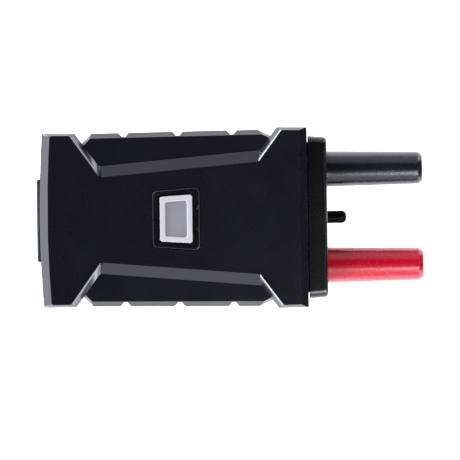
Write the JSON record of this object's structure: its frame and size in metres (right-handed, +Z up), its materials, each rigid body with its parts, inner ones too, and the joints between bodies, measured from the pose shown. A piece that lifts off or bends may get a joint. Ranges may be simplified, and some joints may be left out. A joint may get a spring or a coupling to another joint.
{
  "type": "plug-in logic analyzer module",
  "caption": "Hand-sized measuring module with side grips and a window button; shrouded plugs and a sprung plunger at the front push straight into an instrument's sockets.",
  "frame": {"origin": "on the underside plane, below the middle of the overall length and on the centre line", "axes": "+X from the rear port to the plug tips, +Y to the black plug, +Z up through the button face"},
  "size_m": [0.0764, 0.0358, 0.0225],
  "materials": {
    "shell_plastic": "fine satin texture, black",
    "grip_rubber": "satin, black",
    "collar_plastic": "smooth satin, black",
    "plug_black": "satin, black",
    "plug_red": "satin, red",
    "plunger_plastic": "satin, black",
    "frosted_lens": "frosted, translucent",
    "clear_guide": "polished, clear",
    "door_plastic": "satin, black",
    "panel_plastic": "satin, black",
    "plated_brass": "nickel plated",
    "bare_brass": "rolled",
    "spring_steel": "drawn wire",
    "screw_steel": "zinc plated",
    "seal_rubber": "matt",
    "board_laminate": "solder mask",
    "chip_resin": "moulded resin",
    "chip_ceramic": "fired ceramic",
    "can_metal": "drawn can",
    "led_resin": "clear resin",
    "port_steel": "plated sheet",
    "battery_foil": "pouch foil",
    "foam": "open foam"
  },
  "bodies": {
    "housing": {"top_shell": "shell_plastic", "bottom_shell": "shell_plastic", "side_grip_left": "grip_rubber", "side_grip_right": "grip_rubber", "housing_gasket": "seal_rubber", "housing_screws": "screw_steel", "front_collar": "collar_plastic", "plug_shroud_black": "plug_black", "plug_shroud_red": "plug_red", "contact_pin_black": "plated_brass", "contact_pin_red": "plated_brass", "pin_nose_black": "plunger_plastic", "pin_nose_red": "plunger_plastic", "spring_cage_black": "bare_brass", "spring_cage_red": "bare_brass", "contact_lug_black": "plated_brass", "contact_lug_red": "plated_brass", "plug_nuts": "plated_brass", "plunger_guide": "collar_plastic", "plunger_seal": "seal_rubber", "plunger_spring": "spring_steel", "plunger_bracket": "panel_plastic", "plunger_sensor": "chip_resin", "button_surround": "collar_plastic", "tact_switch_body": "chip_resin", "status_leds": "led_resin", "light_guide": "clear_guide", "main_board": "board_laminate", "board_screws": "screw_steel", "controller_chip": "chip_resin", "signal_chip": "chip_resin", "memory_chip": "chip_resin", "crystal": "can_metal", "input_resistors": "chip_resin", "surge_arrestors": "chip_ceramic", "small_parts": "chip_ceramic", "rear_panel": "panel_plastic", "port_door_pin": "screw_steel", "usb_socket_shell": "port_steel", "usb_tongue": "chip_resin", "usb_contacts": "bare_brass", "battery_cell": "battery_foil", "battery_pad": "foam", "battery_tabs": "plated_brass"},
    "lens_button": {"lens_button": "frosted_lens", "tact_switch_stem": "chip_ceramic"},
    "presence_plunger": {"presence_plunger": "plunger_plastic"},
    "port_door": {"port_door": "door_plastic"}
  },
  "joints": [
    {"name": "button_press", "type": "slide", "parent": "housing", "child": "lens_button", "axis": [0, 0, -1], "range_m": [0, 0.0005], "stiffness_N_per_m": 1000, "springref_m": -0.001},
    {"name": "plunger_push", "type": "slide", "parent": "housing", "child": "presence_plunger", "axis": [-1, 0, 0], "range_m": [0, 0.0032], "stiffness_N_per_m": 250, "springref_m": -0.002, "deforming": ["plunger_spring"]},
    {"name": "port_door_hinge", "type": "hinge", "parent": "housing", "child": "port_door", "pos_m": [-0.0373, 0, 0.0074], "axis": [0, -1, 0], "range_deg": [0, 95]}
  ]
}
